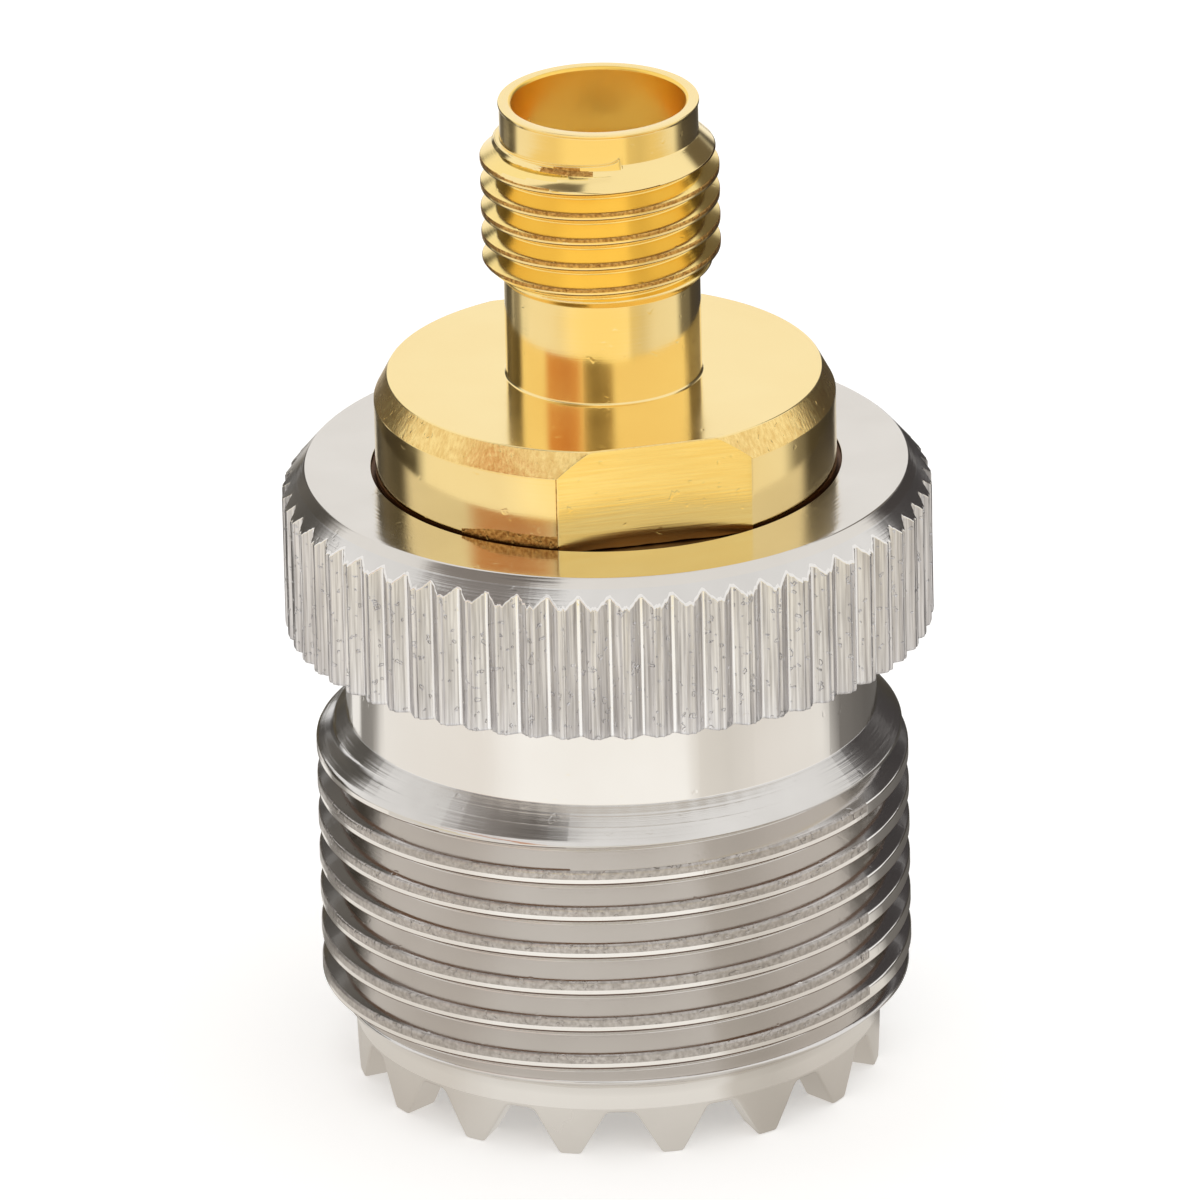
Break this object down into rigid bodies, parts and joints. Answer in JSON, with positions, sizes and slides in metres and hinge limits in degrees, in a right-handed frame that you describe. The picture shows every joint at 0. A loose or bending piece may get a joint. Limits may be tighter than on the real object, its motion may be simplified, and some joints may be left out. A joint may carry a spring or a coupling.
{
  "type": "coaxial adapter",
  "caption": "Straight coaxial adapter: small gold threaded jack on a disc with wrench flats, knurled nickel flange and large threaded jack with a toothed rim.",
  "frame": {"origin": "on the common axis, in the plane of the crown's tooth tips, on which the adapter stands", "axes": "+Z along the axis from the large jack to the small jack, -Y towards the picture's camera, +X to its right"},
  "size_m": [0.0172, 0.0172, 0.0272],
  "materials": {
    "nickel": "bright nickel plate on turned brass",
    "gold": "bright gold plate on turned brass",
    "contact_gold": "gold plate on turned contact alloy",
    "ptfe": "white turned PTFE"
  },
  "bodies": {
    "root": {"uhf_shell": "nickel", "sma_shell": "gold", "sma_insulator": "ptfe", "sma_contact": "contact_gold", "uhf_insulator": "ptfe", "uhf_contact": "contact_gold"}
  },
  "joints": []
}
